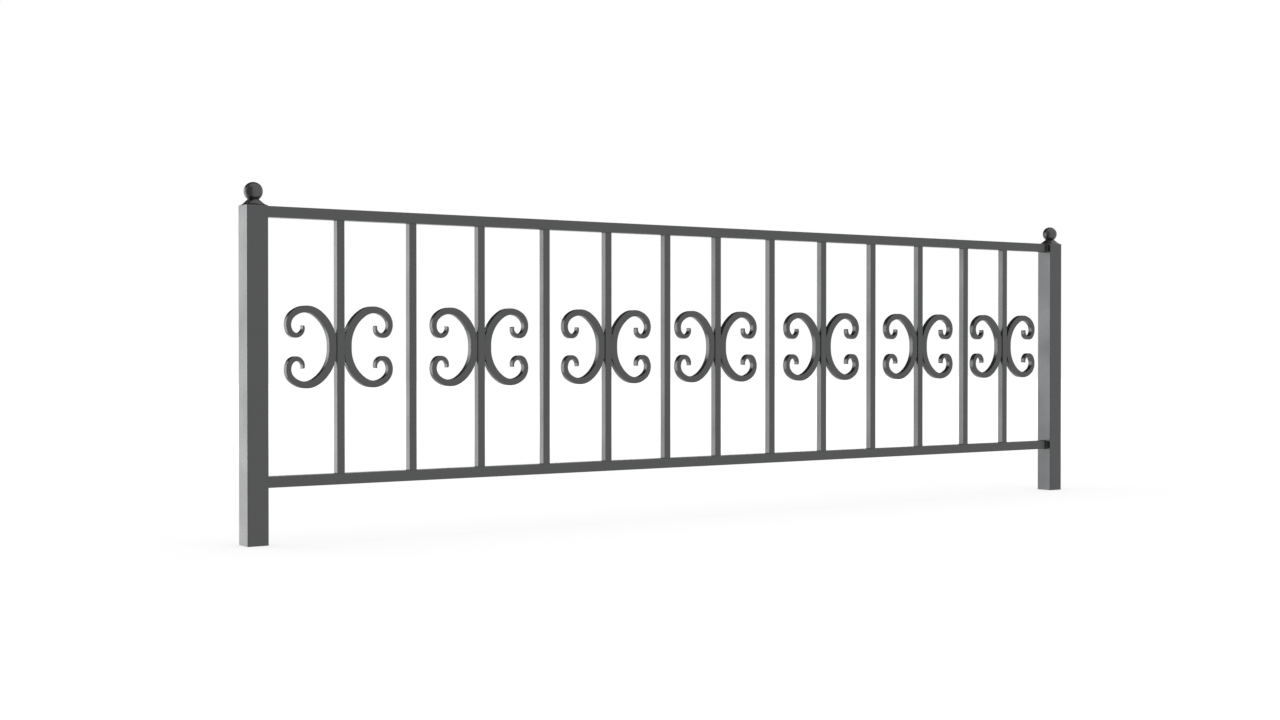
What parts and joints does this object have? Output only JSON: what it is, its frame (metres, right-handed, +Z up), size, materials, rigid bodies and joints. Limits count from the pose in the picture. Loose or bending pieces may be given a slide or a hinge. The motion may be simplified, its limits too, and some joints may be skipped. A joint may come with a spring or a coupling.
{
  "type": "garden edging fence",
  "caption": "Low welded steel garden edging fence section: square posts with flared ball caps, rails, upright bars and back-to-back C-scroll pairs.",
  "frame": {"origin": "centre of the left post's foot, at ground level", "axes": "+X along the fence from the left post to the right post, +Y to the back, +Z up"},
  "size_m": [2.1286, 0.04, 0.6491],
  "materials": {
    "graphite_paint": "satin graphite grey paint over steel"
  },
  "bodies": {
    "root": {"post_left": "graphite_paint", "post_right": "graphite_paint", "cap_left": "graphite_paint", "cap_right": "graphite_paint", "ball_left": "graphite_paint", "ball_right": "graphite_paint", "top_rail": "graphite_paint", "bottom_rail": "graphite_paint", "bar_01": "graphite_paint", "bar_02": "graphite_paint", "bar_03": "graphite_paint", "bar_04": "graphite_paint", "bar_05": "graphite_paint", "bar_06": "graphite_paint", "bar_07": "graphite_paint", "bar_08": "graphite_paint", "bar_09": "graphite_paint", "bar_10": "graphite_paint", "bar_11": "graphite_paint", "bar_12": "graphite_paint", "bar_13": "graphite_paint", "scroll_01_left": "graphite_paint", "scroll_01_right": "graphite_paint", "scroll_02_left": "graphite_paint", "scroll_02_right": "graphite_paint", "scroll_03_left": "graphite_paint", "scroll_03_right": "graphite_paint", "scroll_04_left": "graphite_paint", "scroll_04_right": "graphite_paint", "scroll_05_left": "graphite_paint", "scroll_05_right": "graphite_paint", "scroll_06_left": "graphite_paint", "scroll_06_right": "graphite_paint", "scroll_07_left": "graphite_paint", "scroll_07_right": "graphite_paint"}
  },
  "joints": []
}
